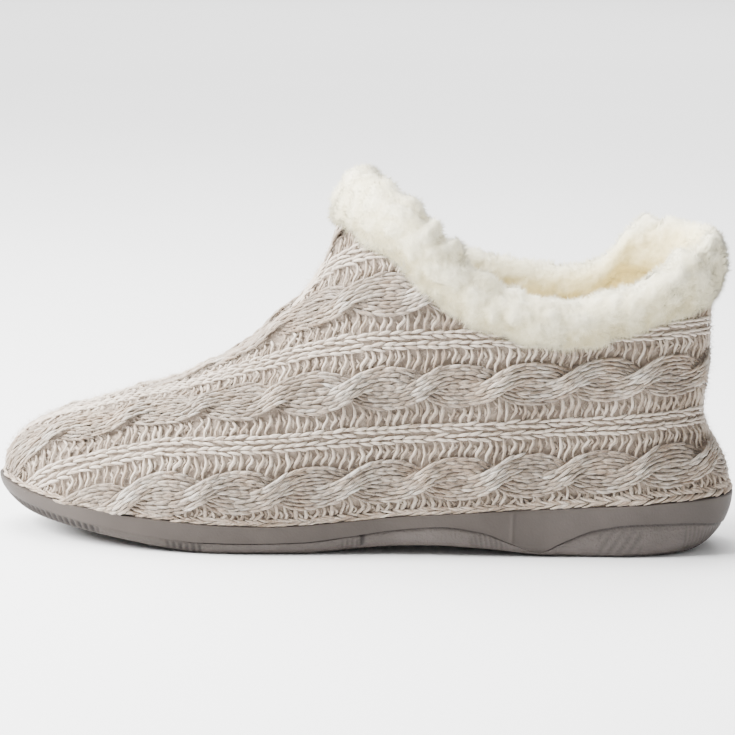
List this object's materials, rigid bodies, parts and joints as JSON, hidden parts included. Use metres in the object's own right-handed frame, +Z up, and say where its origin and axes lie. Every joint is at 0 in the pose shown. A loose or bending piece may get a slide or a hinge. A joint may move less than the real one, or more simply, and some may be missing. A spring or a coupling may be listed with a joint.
{
  "type": "house slipper",
  "caption": "Ankle-high house slipper: cable-knit upper with a deep fleece cuff round the collar, an insole, and a moulded wedge sole with toe spring",
  "frame": {"origin": "on the floor, under the middle of the slipper's box", "axes": "+X towards the toe, +Y towards the outer side of a left foot, +Z up"},
  "size_m": [0.2588, 0.0946, 0.1311],
  "materials": {
    "rubber": "matt moulded",
    "footbed": "fleece",
    "knit": "marled wool knit",
    "fleece": "deep fleece"
  },
  "bodies": {
    "root": {"sole": "rubber", "insole": "footbed", "upper": "knit", "cuff": "fleece"}
  },
  "joints": []
}
